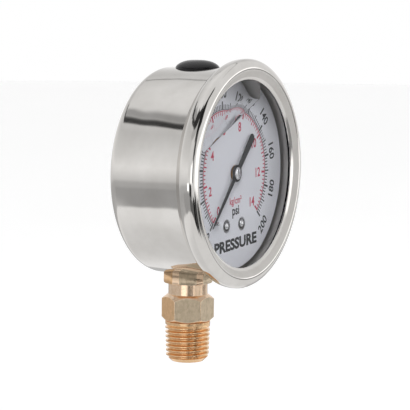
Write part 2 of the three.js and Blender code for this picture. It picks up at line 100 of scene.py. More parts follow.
# ---- Sizes that the frame's boxes don't give, in millimetres ----

CASE_R = 31.55
CASE_WALL = 0.8
BACK_ROUND = 3.2
BACK_STEP = 0.35  # depth of the shallow round step in the back
BACK_STEP_R = 22.6
FLARE_BACK = -15.0
FLANGE_BACK = -15.6
FILL_HOLE_R = 4.4
STEM_HOLE_R = 6.9
CREASE_R = 31.3
WIDEST_Y = -19.57
OPENING_R = 28.3
OPENING_Y = -20.2
DIAL_HOLE_R = 2.5
POINTER_DEG = 228.0  # direction of the pointer at rest, from +X towards +Z
DIAL_TURN = 3.0  # the dial sits a little turned in its case


# ---- Mesh helpers ----


def finish_mesh(name, bm, sharp_deg=32.0):
    """A new object from a bmesh given in millimetres."""
    bmesh.ops.remove_doubles(bm, verts=bm.verts, dist=1e-5)
    bmesh.ops.recalc_face_normals(bm, faces=bm.faces)
    if bm.calc_volume(signed=True) < 0:
        bmesh.ops.reverse_faces(bm, faces=bm.faces)
    bmesh.ops.scale(bm, vec=(MM, MM, MM), verts=bm.verts)
    mesh = bpy.data.meshes.new(name)
    bm.to_mesh(mesh)
    bm.free()
    mesh.polygons.foreach_set("use_smooth", [True] * len(mesh.polygons))
    mesh.set_sharp_from_angle(angle=math.radians(sharp_deg))
    obj = bpy.data.objects.new(name, mesh)
    bpy.context.scene.collection.objects.link(obj)
    return obj


def dress(obj, material, slot, *nodes, body="gauge_body"):
    """Gives a piece its material and its body, and hides the CAD nodes it stands for. `slot` is not used.
    """
    obj.data.materials.clear()
    obj.data.materials.append(material)
    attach(obj, body)
    if nodes:
        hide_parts(*nodes)


def polar(radius, degrees):
    a = math.radians(degrees)
    return radius * math.cos(a), radius * math.sin(a)


def arc(cx, cy, rx, ry, start, end, steps):
    """Points along an elliptic arc, angles in degrees."""
    points = []
    for i in range(steps + 1):
        a = math.radians(start + (end - start) * i / steps)
        points.append((cx + rx * math.cos(a), cy + ry * math.sin(a)))
    return points


def smooth_through(points, per=5):
    """A Catmull-Rom curve through an open list of points."""
    padded = [points[0], *points, points[-1]]
    out = []
    for i in range(1, len(padded) - 2):
        p0, p1, p2, p3 = (Vector(p) for p in padded[i - 1 : i + 3])
        for k in range(per):
            t = k / per
            q = 0.5 * (2 * p1 + (p2 - p0) * t + (2 * p0 - 5 * p1 + 4 * p2 - p3) * t**2)
            q += 0.5 * (3 * p1 - p0 - 3 * p2 + p3) * t**3
            out.append(tuple(q))
    out.append(tuple(points[-1]))
    return out


def bridge(bm, loops):
    """Joins loops of points by quads, or by triangles beside a loop that is one repeated point."""
    for near, far in zip(loops, loops[1:]):
        for i in range(len(near)):
            j = (i + 1) % len(near)
            corners = dict.fromkeys((near[i], near[j], far[j], far[i]))
            if len(corners) > 2:
                bm.faces.new(list(corners))


def lathe(profile, segments, closed=False):
    """A bmesh turned about the Y axis from (radius, y) points. A point on the axis makes a tip."""
    bm = bmesh.new()
    rings = []
    for r, y in profile:
        if r < 1e-6:
            rings.append([bm.verts.new((0, y, 0))] * segments)
            continue
        ring = []
        for i in range(segments):
            x, z = polar(r, 360 * i / segments)
            ring.append(bm.verts.new((x, y, z)))
        rings.append(ring)
    if closed:
        rings.append(rings[0])
    bridge(bm, rings)
    return bm


def on_case_axis(bm):
    """Lifts a mesh built about the origin to the height of the case axis."""
    bmesh.ops.translate(bm, vec=(0, 0, AXIS_Z), verts=bm.verts)
    return bm


def turned(bm, degrees, axis):
    """Turns a mesh about an axis through the origin."""
    turn = Matrix.Rotation(math.radians(degrees), 3, axis)
    bmesh.ops.rotate(bm, cent=(0, 0, 0), matrix=turn, verts=bm.verts)
    return bm


def case_lathe(name, profile, segments, closed=False, sharp_deg=32.0):
    """An object turned about the case axis from (radius, y) points."""
    return finish_mesh(name, on_case_axis(lathe(profile, segments, closed)), sharp_deg)


def stem_lathe(name, profile, segments, closed=False):
    """An object turned about the stem's upright axis from (radius, z) points."""
    return finish_mesh(name, turned(lathe(profile, segments, closed), 90, "X"))


def prism(outline, front, back):
    """A closed slab from (x, z) points, between two Y values."""
    bm = bmesh.new()
    near = [bm.verts.new((x, front, z)) for x, z in outline]
    far = [bm.verts.new((x, back, z)) for x, z in outline]
    bm.faces.new(near)
    bm.faces.new(reversed(far))
    for i in range(len(outline)):
        j = (i + 1) % len(outline)
        bm.faces.new((near[i], near[j], far[j], far[i]))
    return bm


def apply_modifiers(obj):
    bpy.context.view_layer.update()
    evaluated = obj.evaluated_get(bpy.context.evaluated_depsgraph_get())
    mesh = bpy.data.meshes.new_from_object(evaluated)
    obj.modifiers.clear()
    obj.data = mesh


def boolean(obj, tool, operation="DIFFERENCE"):
    """Applies a boolean to obj and deletes the tool."""
    modifier = obj.modifiers.new("cut", "BOOLEAN")
    modifier.operation = operation
    modifier.solver = "EXACT"
    modifier.object = tool
    apply_modifiers(obj)
    bpy.data.objects.remove(tool)


def soften(obj, width, limit=35.0):
    """Rounds an object's sharp edges by a width in millimetres."""
    modifier = obj.modifiers.new("soften", "BEVEL")
    modifier.width = width * MM
    modifier.segments = 2
    modifier.limit_method = "ANGLE"
    modifier.angle_limit = math.radians(limit)
    apply_modifiers(obj)
    obj.data.polygons.foreach_set("use_smooth", [True] * len(obj.data.polygons))
    obj.data.set_sharp_from_angle(angle=math.radians(40))
    # Normals weighted by face area keep the large faces flat between their rounded edges.
    weighted = obj.modifiers.new("flat_faces", "WEIGHTED_NORMAL")
    weighted.keep_sharp = True
    apply_modifiers(obj)


# ---- Material helpers ----


def add_math(tree, operation, *values):
    """A math node, with numbers or sockets as its inputs."""
    node = tree.nodes.new("ShaderNodeMath")
    node.operation = operation
    for socket, value in zip(node.inputs, values):
        if isinstance(value, (int, float)):
            socket.default_value = value
        else:
            tree.links.new(value, socket)
    return node.outputs[0]


class Nodes:
    """A material's node tree, with short calls for the nodes used here."""

    def __init__(self, name):
        self.material = bpy.data.materials.new(name)
        self.material.use_nodes = True
        self.tree = self.material.node_tree
        self.shader = self.tree.nodes["Principled BSDF"]
        self.output = self.tree.nodes["Material Output"]
        self.place = self.tree.nodes.new("ShaderNodeTexCoord").outputs["Object"]

    def link(self, source, target):
        self.tree.links.new(source, target)

    def set(self, **values):
        for key, value in values.items():
            self.shader.inputs[key.replace("_", " ")].default_value = value

    def stretched(self, scale):
        """The object's coordinates, scaled by axis to draw a noise out into lines."""
        mapping = self.tree.nodes.new("ShaderNodeMapping")
        mapping.inputs["Scale"].default_value = scale
        self.link(self.place, mapping.inputs["Vector"])
        return mapping.outputs["Vector"]

    def noise(self, vector, scale, detail=3.0, roughness=0.55):
        node = self.tree.nodes.new("ShaderNodeTexNoise")
        node.inputs["Scale"].default_value = scale
        node.inputs["Detail"].default_value = detail
        node.inputs["Roughness"].default_value = roughness
        self.link(vector, node.inputs["Vector"])
        return node.outputs["Fac"]

    def spots(self, scale, detail=3.0):
        """Noise that is even in all directions."""
        return self.noise(self.place, scale, detail)

    def math(self, operation, *values):
        return add_math(self.tree, operation, *values)

    def roughen(self, value, low, high):
        """Drives the roughness between two values from the middle range of a noise."""
        node = self.tree.nodes.new("ShaderNodeMapRange")
        node.inputs["From Min"].default_value = 0.3
        node.inputs["From Max"].default_value = 0.7
        node.inputs["To Min"].default_value = low
        node.inputs["To Max"].default_value = high
        self.link(value, node.inputs["Value"])
        self.link(node.outputs["Result"], self.shader.inputs["Roughness"])

    def ramp(self, value, *stops):
        """Drives the base colour from a value, through (position, colour) stops."""
        node = self.tree.nodes.new("ShaderNodeValToRGB")
        elements = node.color_ramp.elements
        while len(elements) < len(stops):
            elements.new(0.5)
        for element, (position, color) in zip(elements, stops):
            element.position = position
            element.color = (*color, 1)
        self.link(value, node.inputs["Fac"])
        self.link(node.outputs["Color"], self.shader.inputs["Base Color"])

    def bump(self, *layers):
        """Chains bump nodes from (height, strength, distance in millimetres)."""
        normal = None
        for height, strength, distance in layers:
            node = self.tree.nodes.new("ShaderNodeBump")
            node.inputs["Strength"].default_value = strength
            node.inputs["Distance"].default_value = distance * MM
            self.link(height, node.inputs["Height"])
            if normal is not None:
                self.link(normal, node.inputs["Normal"])
            normal = node.outputs["Normal"]
        self.link(normal, self.shader.inputs["Normal"])


def inside_wall(n):
    """1 on the case's dull inner wall, and 0 elsewhere."""
    split = n.tree.nodes.new("ShaderNodeSeparateXYZ")
    n.link(n.place, split.inputs["Vector"])
    across = split.outputs["X"]
    above = n.math("SUBTRACT", split.outputs["Z"], AXIS_Z * MM)
    squares = n.math("MULTIPLY_ADD", across, across, n.math("MULTIPLY", above, above))
    radius = n.math("SQRT", squares)
    near = n.math("LESS_THAN", radius, (CASE_R - CASE_WALL / 2) * MM)
    wide = n.math("GREATER_THAN", radius, DIAL_R * MM)
    ahead = n.math("LESS_THAN", split.outputs["Y"], (CASE_BACK - BACK_ROUND) * MM)
    return n.math("MULTIPLY", n.math("MULTIPLY", near, wide), ahead)


def stainless(name, grain, wave=1.0):
    """Polished stainless steel: fine drawn lines along `grain`, slow waves in the sheet, smudges."""
    n = Nodes(name)
    n.set(Metallic=1.0)
    lines = n.noise(n.stretched(grain), 1.0, 4.0, 0.7)
    smudge = n.spots(95.0, 4.0)
    waves = n.spots(42.0, 1.5)
    n.ramp(smudge, (0.25, (0.60, 0.58, 0.555)), (0.75, (0.70, 0.682, 0.66)))
    rough = n.math("MULTIPLY_ADD", lines, 0.05, 0.015)
    rough = n.math("MULTIPLY_ADD", smudge, 0.05, rough)
    rough = n.math("MULTIPLY_ADD", inside_wall(n), 0.55, rough)
    n.link(rough, n.shader.inputs["Roughness"])
    n.bump((waves, 0.35 * wave, 1.0), (lines, 0.06, 0.02))
    return n.material


def brass_bar(name, grain, tint=(0.72, 0.47, 0.225), roughness=0.16, line_strength=0.35, mottle=0.88):
    """Machined brass with tool lines or drawn grain along `grain`, and a faint tarnish."""
    n = Nodes(name)
    n.set(Metallic=1.0)
    lines = n.noise(n.stretched(grain), 1.0, 5.0, 0.75)
    tarnish = n.noise(n.stretched((1, 1, 0.6)), 1100.0, 6.0, 0.7)
    dark = tuple(mottle * c * w for c, w in zip(tint, (1.0, 0.97, 0.92)))
    n.ramp(tarnish, (0.3, dark), (0.6, tint))
    rough = n.math("MULTIPLY_ADD", lines, 0.16, roughness - 0.06)
    n.link(n.math("MULTIPLY_ADD", tarnish, 0.08, rough), n.shader.inputs["Roughness"])
    n.bump((lines, line_strength, 0.05))
    return n.material


def turned_thread(material):
    """Circular tool marks draw each highlight out across them, along the stem."""
    tree = material.node_tree
    around = tree.nodes.new("ShaderNodeTangent")
    around.direction_type = "RADIAL"
    around.axis = "Z"
    shader = tree.nodes["Principled BSDF"]
    shader.inputs["Anisotropic"].default_value = 0.7
    shader.inputs["Anisotropic Rotation"].default_value = 0.25
    tree.links.new(around.outputs["Tangent"], shader.inputs["Tangent"])
    return material


def steel_part(name):
    """Turned steel of small screws and pins."""
    n = Nodes(name)
    n.set(Metallic=1.0)
    fine = n.spots(2500.0)
    blotch = n.spots(500.0)
    n.ramp(blotch, (0.3, (0.55, 0.55, 0.56)), (0.7, (0.7, 0.7, 0.71)))
    n.roughen(fine, 0.14, 0.3)
    n.bump((fine, 0.1, 0.02))
    return n.material


def rubber(name):
    """Moulded black rubber: satin, with a fine pebble and a dusty variation."""
    n = Nodes(name)
    pebble = n.spots(3200.0, 2.0)
    dust = n.spots(240.0, 4.0)
    n.ramp(dust, (0.3, (0.004, 0.004, 0.0045)), (0.8, (0.012, 0.012, 0.013)))
    n.set(Specular_IOR_Level=0.3)
    n.roughen(dust, 0.16, 0.3)
    n.bump((pebble, 0.12, 0.03))
    return n.material


def enamel(name, low, high, roughness):
    """Baked enamel: even colour with a slow tone change and a faint orange peel."""
    n = Nodes(name)
    tone = n.spots(70.0)
    peel = n.spots(1800.0, 2.0)
    n.ramp(tone, (0.3, low), (0.7, high))
    n.roughen(peel, roughness - 0.06, roughness + 0.06)
    n.bump((peel, 0.08, 0.02))
    return n.material


def ink(name, color):
    """Screen-printed ink, with slightly uneven cover."""
    n = Nodes(name)
    cover = n.spots(1500.0)
    lighter = tuple(c + 0.035 for c in color)
    n.ramp(cover, (0.35, color), (0.75, lighter))
    n.roughen(cover, 0.4, 0.55)
    return n.material


def clear(name, ior, tint, contact, contact_y):
    """A clear solid or liquid.

    `contact` compares a point's Y with `contact_y` to find where the window and the liquid
    touch. There, light passes without a mirror image.
    """
    n = Nodes(name)
    n.set(Base_Color=(*tint, 1), Roughness=0.0, IOR=ior, Transmission_Weight=1.0)
    n.bump((n.spots(30.0, 1.0), 0.02, 0.05))
    split = n.tree.nodes.new("ShaderNodeSeparateXYZ")
    n.link(n.place, split.inputs["Vector"])
    touching = n.math(contact, split.outputs["Y"], contact_y * MM)
    refraction = n.tree.nodes.new("ShaderNodeBsdfRefraction")
    refraction.inputs["Color"].default_value = (*tint, 1)
    refraction.inputs["Roughness"].default_value = 0.0
    refraction.inputs["IOR"].default_value = ior
    surface = n.tree.nodes.new("ShaderNodeMixShader")
    n.link(touching, surface.inputs["Fac"])
    n.link(n.shader.outputs["BSDF"], surface.inputs[1])
    n.link(refraction.outputs["BSDF"], surface.inputs[2])
    through = n.tree.nodes.new("ShaderNodeBsdfTransparent")
    through.inputs["Color"].default_value = (*tint, 1)
    path = n.tree.nodes.new("ShaderNodeLightPath")
    mix = n.tree.nodes.new("ShaderNodeMixShader")
    n.link(path.outputs["Is Shadow Ray"], mix.inputs["Fac"])
    n.link(surface.outputs["Shader"], mix.inputs[1])
    n.link(through.outputs["BSDF"], mix.inputs[2])
    n.link(mix.outputs["Shader"], n.output.inputs["Surface"])
    return n.material


def make_materials():
    thread_bar = brass_bar("thread_brass", (400, 400, 6000), (0.87, 0.585, 0.34), 0.18, 0.03)
    return {
        "case": stainless("case_stainless", (300, 9000, 300)),
        "bezel": stainless("bezel_stainless", (900, 2500, 900), wave=0.5),
        "turned_brass": brass_bar("turned_brass", (250, 250, 9000), (0.82, 0.62, 0.45), 0.1, 0.12),
        # Drawn and gripped brass differ in grain, and their tints are partly painted reflection of the
        # hexagon's flats.
        "drawn_brass_painted_reflection": brass_bar("drawn_brass_painted_reflection", (5200, 5200, 420), (0.76, 0.49, 0.27), 0.24, 0.5, 0.8),
        "gripped_brass_painted_reflection": brass_bar("gripped_brass_painted_reflection", (4200, 4200, 900), (0.62, 0.51, 0.37), 0.28, 0.8, 0.72),
        "thread_brass": turned_thread(thread_bar),
        "plate_brass": brass_bar("plate_brass", (3500, 300, 3500), roughness=0.25),
        "bronze": brass_bar("phosphor_bronze", (2500, 2500, 2500), (0.66, 0.38, 0.20), 0.3, 0.2),
        "steel": steel_part("turned_steel"),
        "rubber": rubber("black_rubber"),
        "dial": enamel("dial_enamel", (0.775, 0.775, 0.825), (0.80, 0.80, 0.85), 0.42),
        "pointer": enamel("pointer_enamel", (0.012, 0.012, 0.014), (0.02, 0.02, 0.023), 0.4),
        "ink_black": ink("ink_black", (0.013, 0.013, 0.016)),
        "ink_red": ink("ink_red", (0.56, 0.045, 0.1)),
        "lens": clear("clear_window", 1.5, (0.985, 0.99, 0.995), "GREATER_THAN", LENS_BACK - 0.1),
        "liquid": clear("glycerine", 1.47, (0.985, 0.985, 0.985), "LESS_THAN", LENS_BACK - 0.02),
    }


SLOT_MATERIALS = {
    "polished_stainless": "case",
    "brass": "plate_brass",
    "bronze": "bronze",
    "steel": "steel",
    "black_rubber": "rubber",
    "dial_white": "dial",
    "pointer_black": "pointer",
    "clear_window": "lens",
}


def dress_cad_nodes(materials):
    """Every CAD node that stays gets the procedural material of its slot."""
    slots = {s["node"]: s["material_slot"] for s in frame["record"]["subparts"]}
    for name, obj in frame["nodes"].items():
        material = materials[SLOT_MATERIALS[slots[name]]]
        for slot in obj.material_slots:
            slot.material = material


# ---- Case, bezel and window ----


def hole_tool(name, radius, y, low, high):
    """An upright cylinder that cuts a hole in the case, its ends given as heights over the case axis."""
    bm = lathe([(0, low), (radius, low), (radius, high), (0, high)], 64)
    bm = on_case_axis(turned(bm, 90, "X"))
    bmesh.ops.translate(bm, vec=(0, y, 0), verts=bm.verts)
    return finish_mesh(name, bm)


def build_case(materials):
    corner = CASE_R - BACK_ROUND
    inner = CASE_R - CASE_WALL
    straight = CASE_BACK - BACK_ROUND
    floor_y = CASE_BACK - BACK_STEP
    profile = [(0, floor_y), (BACK_STEP_R, floor_y), (BACK_STEP_R + 0.8, floor_y + 0.05)]
    profile.append((BACK_STEP_R + 1.4, CASE_BACK))
    profile += arc(corner, straight, BACK_ROUND, BACK_ROUND, 90, 0, 14)
    profile += [(CASE_R, straight - 6), (CASE_R, -8), (CASE_R, FLARE_BACK)]
    profile += [(FLANGE_R, FLANGE_BACK), (FLANGE_R, FLANGE_FRONT), (inner, FLANGE_FRONT), (inner, -8)]
    profile += arc(corner, straight, BACK_ROUND - CASE_WALL, BACK_ROUND - CASE_WALL, 0, 90, 8)
    profile.append((0, floor_y - CASE_WALL))
    case = case_lathe("case_body", profile, 256)
    boolean(case, hole_tool("fill_hole", FILL_HOLE_R, PLUG_Y, 20, 40))
    boolean(case, hole_tool("stem_hole", STEM_HOLE_R, 0, -40, -20))
    case.data.set_sharp_from_angle(angle=math.radians(32))
    dress(case, materials["case"], "polished_stainless", "case_shell")


def build_bezel(materials):
    hem = CASE_R + 0.08
    flare = [(hem, -14.62), (32.0, -14.72), (32.5, -15.2), (33.2, -16.0), (33.95, -16.9)]
    flare = smooth_through(flare + [(34.35, -17.7), (BEZEL_R, -18.7)])
    crown = arc(CREASE_R, WIDEST_Y, BEZEL_R - CREASE_R, WIDEST_Y - CREASE_Y, 0, -84, 18)
    lip = [(CREASE_R - 0.3, CREASE_Y + 0.12), (OPENING_R + 0.25, OPENING_Y - 0.14)]
    edge = arc(OPENING_R + 0.28, OPENING_Y + 0.14, 0.28, 0.28, -105, -255, 6)
    inner = [(33.6, LENS_FRONT - 0.06), (33.6, -17.6), (32.7, -15.9), (hem, -15.0)]
    profile = flare + crown + lip + edge + inner
    bezel = case_lathe("bezel", profile, 256, closed=True, sharp_deg=24)
    dress(bezel, materials["bezel"], "polished_stainless", "bezel_ring")


def build_lens(materials):
    profile = [(0, LENS_FRONT), (20, LENS_FRONT), (LENS_R - 0.3, LENS_FRONT), (LENS_R, LENS_FRONT + 0.3)]
    profile += [(LENS_R, LENS_BACK), (20, LENS_BACK), (0, LENS_BACK)]
    lens = case_lathe("window", profile, 160)
    dress(lens, materials["lens"], "clear_window", "window_lens")


# The glycerine fills the case up to a tilted surface, with an air bubble above it.
SURFACE_DEG = 113.5  # direction in which the surface faces
SURFACE_AT = 16.3  # its distance from the case axis
FILL_R = CASE_R - CASE_WALL + 0.2
FILL_FRONT = LENS_BACK - 0.04
FILL_BACK = CASE_BACK - CASE_WALL - 0.6
MENISCUS = 0.14  # height of the meniscus at a wall
MENISCUS_REACH = 0.07
BUBBLE_END_INNER = 8.2  # where the surface starts to turn up, from the end of the bubble
BUBBLE_END_OUTER = 4.6
BUBBLE_END_RISE = 8.0


def climb(distance):
    """Height of the meniscus at a distance from a wall."""
    return MENISCUS * math.exp(-max(distance, 0.0) / MENISCUS_REACH)


def ramp_up(value, start, end):
    """0 below start and 1 above end, smooth between."""
    t = min(1.0, max(0.0, (value - start) / (end - start)))
    return t * t * (3 - 2 * t)


def surface_height(across, y):
    """Distance of the free surface from the case axis, with its menisci at lens and dial."""
    half = math.sqrt(FILL_R**2 - SURFACE_AT**2)
    rise = climb(y - FILL_FRONT)
    rise += climb(abs(y - (DIAL_FRONT + DIAL_BACK) / 2) - 0.3)
    # The bubble is rounded at both ends, where the liquid turns up to the wall.
    rise += BUBBLE_END_RISE * ramp_up(abs(across), half - BUBBLE_END_INNER, half - BUBBLE_END_OUTER)
    return SURFACE_AT + rise


def liquid_section(bm, y, columns):
    """One cross-section of the liquid: its top from left to right, then its bottom back again."""
    facing = math.radians(SURFACE_DEG)
    top = []
    bottom = []
    for k in range(columns + 1):
        across = -FILL_R * math.cos(math.pi * k / columns)
        wall = math.sqrt(max(0.0, FILL_R**2 - across**2))
        top.append((across, min(surface_height(across, y), wall)))
        bottom.append((across, -wall))
    section = []
    for across, height in top + bottom[-2:0:-1]:
        # `height` runs along the surface's facing direction and `across` to its right.
        x = across * math.sin(facing) + height * math.cos(facing)
        z = -across * math.cos(facing) + height * math.sin(facing)
        section.append(bm.verts.new((x, y, AXIS_Z + z)))
    return section


def build_liquid(materials):
    columns = 140
    # Y of each section; they lie close together beside the window and the dial, at the menisci.
    stations = [FILL_FRONT, -17.6, -17.55, -17.5, -17.4, -17.25, -17.0, -16.6, -16.0, -15.0, -13.5]
    stations += [-12.4, -11.6, -11.15, -11.05, -10.98, DIAL_FRONT - 0.02]
    stations += [DIAL_BACK + 0.02, -10.0, -9.5, -8.0, -4.0, 2.0, FILL_BACK]
    bm = bmesh.new()
    sections = [liquid_section(bm, y, columns) for y in stations]
    bridge(bm, sections)
    count = 2 * columns
    for section in (sections[0], sections[-1]):
        for k in range(columns):
            corners = [section[k], section[k + 1]]
            if k < columns - 1:
                corners.append(section[count - k - 1])
            if k > 0:
                corners.append(section[count - k])
            bm.faces.new(corners)
    liquid = finish_mesh("glycerine_fill", bm, sharp_deg=50)
    dress(liquid, materials["liquid"], "clear_window")


# ---- Dial ----

SCALE_R = 18.8  # radius of the line that both scales stand on
SWEEP = 270.0
PSI_FULL = 200
KG_PER_PSI = 0.0703
START_DEG = 225.0
PRINT_FRONT = DIAL_FRONT - 0.03
PRINT_BACK = DIAL_FRONT + 0.02


# Numbers that are printed a little off their circle, as (x, z) in millimetres.
PSI_NUDGES = {140: (-0.6, 1.1), 160: (-0.5, 0.4), 200: (0.0, -1.1)}
METRIC_NUDGES = {2: (-0.4, -2.0), 4: (-0.9, -0.9), 6: (-1.2, 0.0), 8: (-1.2, 0.0)}


def dial_point(radius, degrees):
    """A place on the dial as (x, z) from its centre, in the dial's own turned directions."""
    return polar(radius, degrees + DIAL_TURN)


def add_prism(bm, outline):
    """Adds a thin printed patch, given as (x, z) from the dial's centre."""
    patch = prism([(x, AXIS_Z + z) for x, z in outline], PRINT_FRONT, PRINT_BACK)
    mesh = bpy.data.meshes.new("patch")
    patch.to_mesh(mesh)
    patch.free()
    bm.from_mesh(mesh)
    bpy.data.meshes.remove(mesh)


def add_tick(bm, degrees, inner, outer, width):
    """Adds a tick between two radii."""
    half = width / 2
    x0, z0 = dial_point(inner, degrees)
    x1, z1 = dial_point(outer, degrees)
    a = math.radians(degrees + DIAL_TURN)
    dx, dz = -math.sin(a) * half, math.cos(a) * half
    add_prism(bm, [(x0 - dx, z0 - dz), (x1 - dx, z1 - dz), (x1 + dx, z1 + dz), (x0 + dx, z0 + dz)])


def add_scale_line(bm, radius, width):
    """Adds a thin line along the whole scale."""
    steps = 120
    turns = [START_DEG - SWEEP * i / steps for i in range(steps + 1)]
    outer = [dial_point(radius + width / 2, degrees) for degrees in turns]
    inner = [dial_point(radius - width / 2, degrees) for degrees in turns]
    add_prism(bm, outer + inner[::-1])


def add_text(bm, words, size, x, z, degrees, weight, width=1.0):
    """Adds flat lettering centred at (x, z), its baseline turned by an angle.

    `weight` thickens the strokes, and `width` stretches the words along their baseline.
    """
    curve = bpy.data.curves.new("words", "FONT")
    curve.body = words
    curve.size = size
    curve.align_x = "CENTER"
    curve.align_y = "CENTER"
    curve.offset = weight
    curve.extrude = (PRINT_BACK - PRINT_FRONT) / 2
    curve.resolution_u = 3
    holder = bpy.data.objects.new("words", curve)
    bpy.context.scene.collection.objects.link(holder)
    bpy.context.view_layer.update()
    evaluated = holder.evaluated_get(bpy.context.evaluated_depsgraph_get())
    mesh = bpy.data.meshes.new_from_object(evaluated)
    turn = math.radians(degrees)
    middle = sum((v.co for v in mesh.vertices), Vector()) / max(1, len(mesh.vertices))
    lows = [min(v.co[k] for v in mesh.vertices) for k in (0, 1)]
    highs = [max(v.co[k] for v in mesh.vertices) for k in (0, 1)]
    for v in mesh.vertices:
        u = (v.co.x - (lows[0] + highs[0]) / 2) * width
        w = v.co.y - (lows[1] + highs[1]) / 2
        depth = (PRINT_FRONT + PRINT_BACK) / 2 - (v.co.z - middle.z)
        px = x + u * math.cos(turn) - w * math.sin(turn)
        pz = z + u * math.sin(turn) + w * math.cos(turn)
        v.co = (px, depth, AXIS_Z + pz)
    bm.from_mesh(mesh)
    bpy.data.meshes.remove(mesh)
    bpy.data.objects.remove(holder)
    bpy.data.curves.remove(curve)


def build_dial(materials):
    profile = [(DIAL_HOLE_R, DIAL_FRONT), (20, DIAL_FRONT), (DIAL_R - 0.1, DIAL_FRONT)]
    profile += [(DIAL_R, DIAL_FRONT + 0.1), (DIAL_R, DIAL_BACK), (DIAL_HOLE_R, DIAL_BACK)]
    dial = case_lathe("dial", profile, 160, closed=True)
    dress(dial, materials["dial"], "dial_white", "dial_plate")


def build_psi_scale():
    """The black outer scale: a tick every 2 psi and a number every 20."""
    bm = bmesh.new()
    add_scale_line(bm, SCALE_R + 0.28, 0.16)
    for psi in range(0, PSI_FULL + 1, 2):
        outer, width = (20.6, 0.32)
        if psi % 10 == 0:
            outer, width = (21.2, 0.4)
        if psi % 20 == 0:
            outer, width = (21.6, 0.62)
        add_tick(bm, START_DEG - SWEEP * psi / PSI_FULL, SCALE_R + 0.2, outer, width)
    for psi in range(0, PSI_FULL + 1, 20):
        degrees = START_DEG - SWEEP * psi / PSI_FULL
        x, z = dial_point(24.0, degrees)
        dx, dz = PSI_NUDGES.get(psi, (0, 0))
        reading = degrees + DIAL_TURN - 90
        if psi in (0, 20, 180, 200):
            reading += 180  # the lowest numbers are read from below
        add_text(bm, str(psi), 4.1, x + dx, z + dz, reading, 0.09, 0.95)
    add_text(bm, "psi", 4.0, *dial_point(11.8, 271), DIAL_TURN, 0.1)
    add_text(bm, "PRESSURE", 4.6, *dial_point(21.4, 270), DIAL_TURN, 0.2, 1.3)
    return bm


def build_metric_scale():
    """The red inner scale: a tick every 0.2 kg/cm² and a number every 2."""
    bm = bmesh.new()
    add_scale_line(bm, SCALE_R - 0.12, 0.3)
    per_unit = SWEEP / (PSI_FULL * KG_PER_PSI)
    for step in range(0, 71):
        inner, width = (17.5, 0.32)
        if step % 5 == 0:
            inner, width = (17.1, 0.42)
        if step % 10 == 0:
            inner, width = (16.7, 0.65)
        add_tick(bm, START_DEG - per_unit * step * 0.2, inner, SCALE_R - 0.1, width)
    for value in range(0, 15, 2):
        x, z = dial_point(14.4, START_DEG - per_unit * value)
        dx, dz = METRIC_NUDGES.get(value, (0, 0))
        add_text(bm, str(value), 3.9, x + dx, z + dz, DIAL_TURN, 0.1, 0.9)
    add_text(bm, "kg/cm²", 3.0, *dial_point(8.6, 272), DIAL_TURN, 0.045, 0.9)
    return bm


def build_print(materials):
    black = finish_mesh("scale_print_black", build_psi_scale())
    dress(black, materials["ink_black"], "pointer_black")
    red = finish_mesh("scale_print_red", build_metric_scale())
    dress(red, materials["ink_red"], "dial_white")


def build_dial_screws(materials):
    """Two screws with low domed heads."""
    for side, node in ((-1, "dial_screw_left"), (1, "dial_screw_right")):
        back = DIAL_FRONT - 0.02
        height = back - screw_low.y
        dome_r = (SCREW_R**2 + height**2) / (2 * height)
        rim_deg = math.degrees(math.asin(SCREW_R / dome_r)) - 90
        profile = arc(0, screw_low.y + dome_r, dome_r, dome_r, -90, rim_deg, 14)
        profile[0] = (0, screw_low.y)
        profile += [(1.1, back), (1.1, screw_high.y), (0, screw_high.y)]
        bm = lathe(profile, 48)
        bmesh.ops.translate(bm, vec=(side * SCREW_X, 0, AXIS_Z + SCREW_Z), verts=bm.verts)
        screw = finish_mesh(node.replace("dial_", "dial_round_"), bm)
        dress(screw, materials["steel"], "steel", node)


def build_stop_pin(materials):
    radius = (pin_high.x - pin_low.x) / 2
    profile = [(0, pin_low.y), (radius - 0.15, pin_low.y), (radius, pin_low.y + 0.15)]
    profile += [(radius, pin_high.y), (0, pin_high.y)]
    bm = lathe(profile, 32)
    middle = (pin_low + pin_high) / 2
    bmesh.ops.translate(bm, vec=(middle.x, 0, middle.z), verts=bm.verts)
    dress(finish_mesh("zero_stop_pin", bm), materials["steel"], "steel", "stop_pin")


def build_bush(materials):
    bore = 1.08
    shank = 1.5
    profile = [(bore, bush_low.y), (BUSH_R - 0.2, bush_low.y), (BUSH_R, bush_low.y + 0.2)]
    profile += [(BUSH_R, DIAL_BACK + 0.2), (shank, DIAL_BACK + 0.25)]
    profile += [(shank, bush_high.y), (bore, bush_high.y)]
    bush = case_lathe("dial_bush", profile, 64, closed=True)
    dress(bush, materials["plate_brass"], "brass", "front_bush")


# ---- Pointer ----

POINTER_TIP_R = 21.0
POINTER_TAIL_R = 15.0
POINTER_DISC_R = 2.6
TAIL_HALF = 1.4
BOSS_R = 2.5
SLOT_HALF = 0.32
SLOT_DEG = 72


def build_pointer(materials):
    """A tapered blade that widens again towards its round-ended tail, drawn along +X and then turned."""
    upper = [(POINTER_TIP_R, 0.1), (POINTER_TIP_R - 2.5, 0.42), (2.5, 0.85)]
    upper += arc(0, 0, POINTER_DISC_R, POINTER_DISC_R, 20, 158, 20)
    upper += [(-6.0, 1.1), (-10.0, 1.3)]
    upper += arc(TAIL_HALF - POINTER_TAIL_R, 0, TAIL_HALF, TAIL_HALF, 95, 180, 8)
    lower = [(x, -z) for x, z in reversed(upper[:-1])]
    bm = prism(upper + lower, blade_low.y, blade_high.y)
    blade = finish_mesh("pointer", on_case_axis(turned(bm, -POINTER_DEG, "Y")))
    boolean(blade, case_lathe("hub_hole", [(0, -16), (1.5, -16), (1.5, -10), (0, -10)], 48))
    soften(blade, 0.08)
    dress(blade, materials["pointer"], "pointer_black", "pointer_blade", body="pointer")


